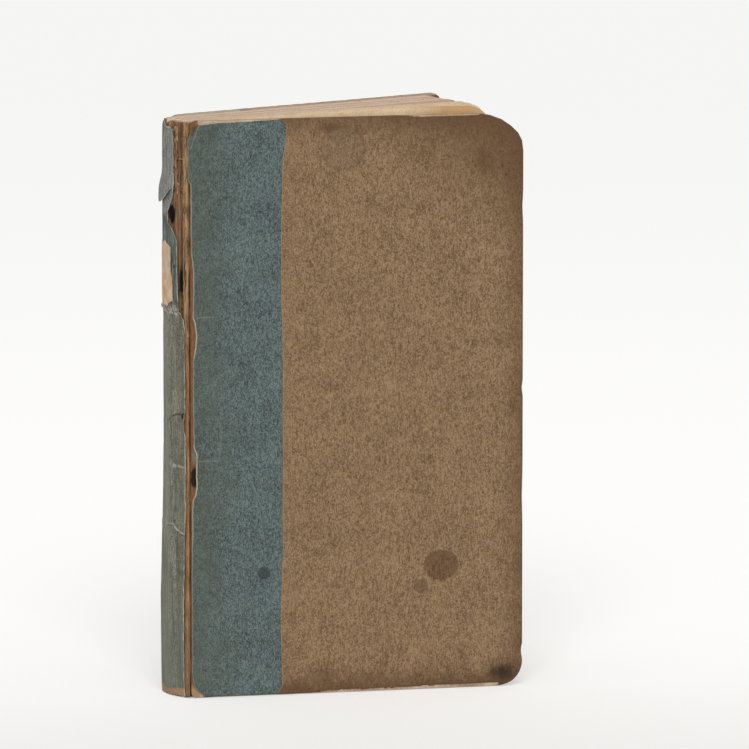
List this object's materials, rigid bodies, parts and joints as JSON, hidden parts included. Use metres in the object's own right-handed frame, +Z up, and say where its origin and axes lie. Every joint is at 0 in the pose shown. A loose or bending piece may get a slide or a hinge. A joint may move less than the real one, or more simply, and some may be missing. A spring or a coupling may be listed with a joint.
{
  "type": "antique book in paper-covered boards",
  "caption": "Worn little book in paper-covered boards: sewn text block, torn blue paper spine, drab brown sides and hinged covers, standing on its tail with the front ajar.",
  "frame": {"origin": "middle of the tail face of the text block, on the surface that the book stands on", "axes": "+X from the spine to the fore-edge along the text block, +Z up the spine to the head, front cover on -Y"},
  "size_m": [0.1081, 0.0575, 0.18],
  "materials": {
    "page_paper": "matte",
    "endpaper": "matte",
    "blue_spine_paper": "matte",
    "drab_side_paper": "matte",
    "label_paper": "matte",
    "board_core": "matte",
    "cord": "matte",
    "thread": "matte"
  },
  "bodies": {
    "text_block": {"text_block": "page_paper", "spine_paper": "blue_spine_paper", "spine_label": "label_paper", "front_endpaper": "endpaper", "rear_endpaper": "endpaper", "sewing_cord_tail": "cord", "sewing_cord_lower": "cord", "sewing_cord_upper": "cord", "sewing_cord_head": "cord", "kettle_stitch_tail": "thread", "kettle_stitch_head": "thread"},
    "front_cover": {"front_board": "board_core", "front_side_paper": "drab_side_paper", "front_spine_strip": "blue_spine_paper"},
    "rear_cover": {"rear_board": "board_core", "rear_side_paper": "drab_side_paper"}
  },
  "joints": [
    {"name": "front_cover_hinge", "type": "hinge", "parent": "text_block", "child": "front_cover", "pos_m": [-0.05023, -0.00835, 0], "axis": [0, 0, -1], "range_deg": [-22.5, 157.5], "deforming": ["front_endpaper", "sewing_cord_tail", "sewing_cord_lower", "sewing_cord_upper", "sewing_cord_head"]},
    {"name": "rear_cover_hinge", "type": "hinge", "parent": "text_block", "child": "rear_cover", "pos_m": [-0.05023, 0.00835, 0], "axis": [0, 0, 1], "range_deg": [0, 180], "deforming": ["spine_paper", "rear_endpaper", "sewing_cord_tail", "sewing_cord_lower", "sewing_cord_upper", "sewing_cord_head"]}
  ]
}
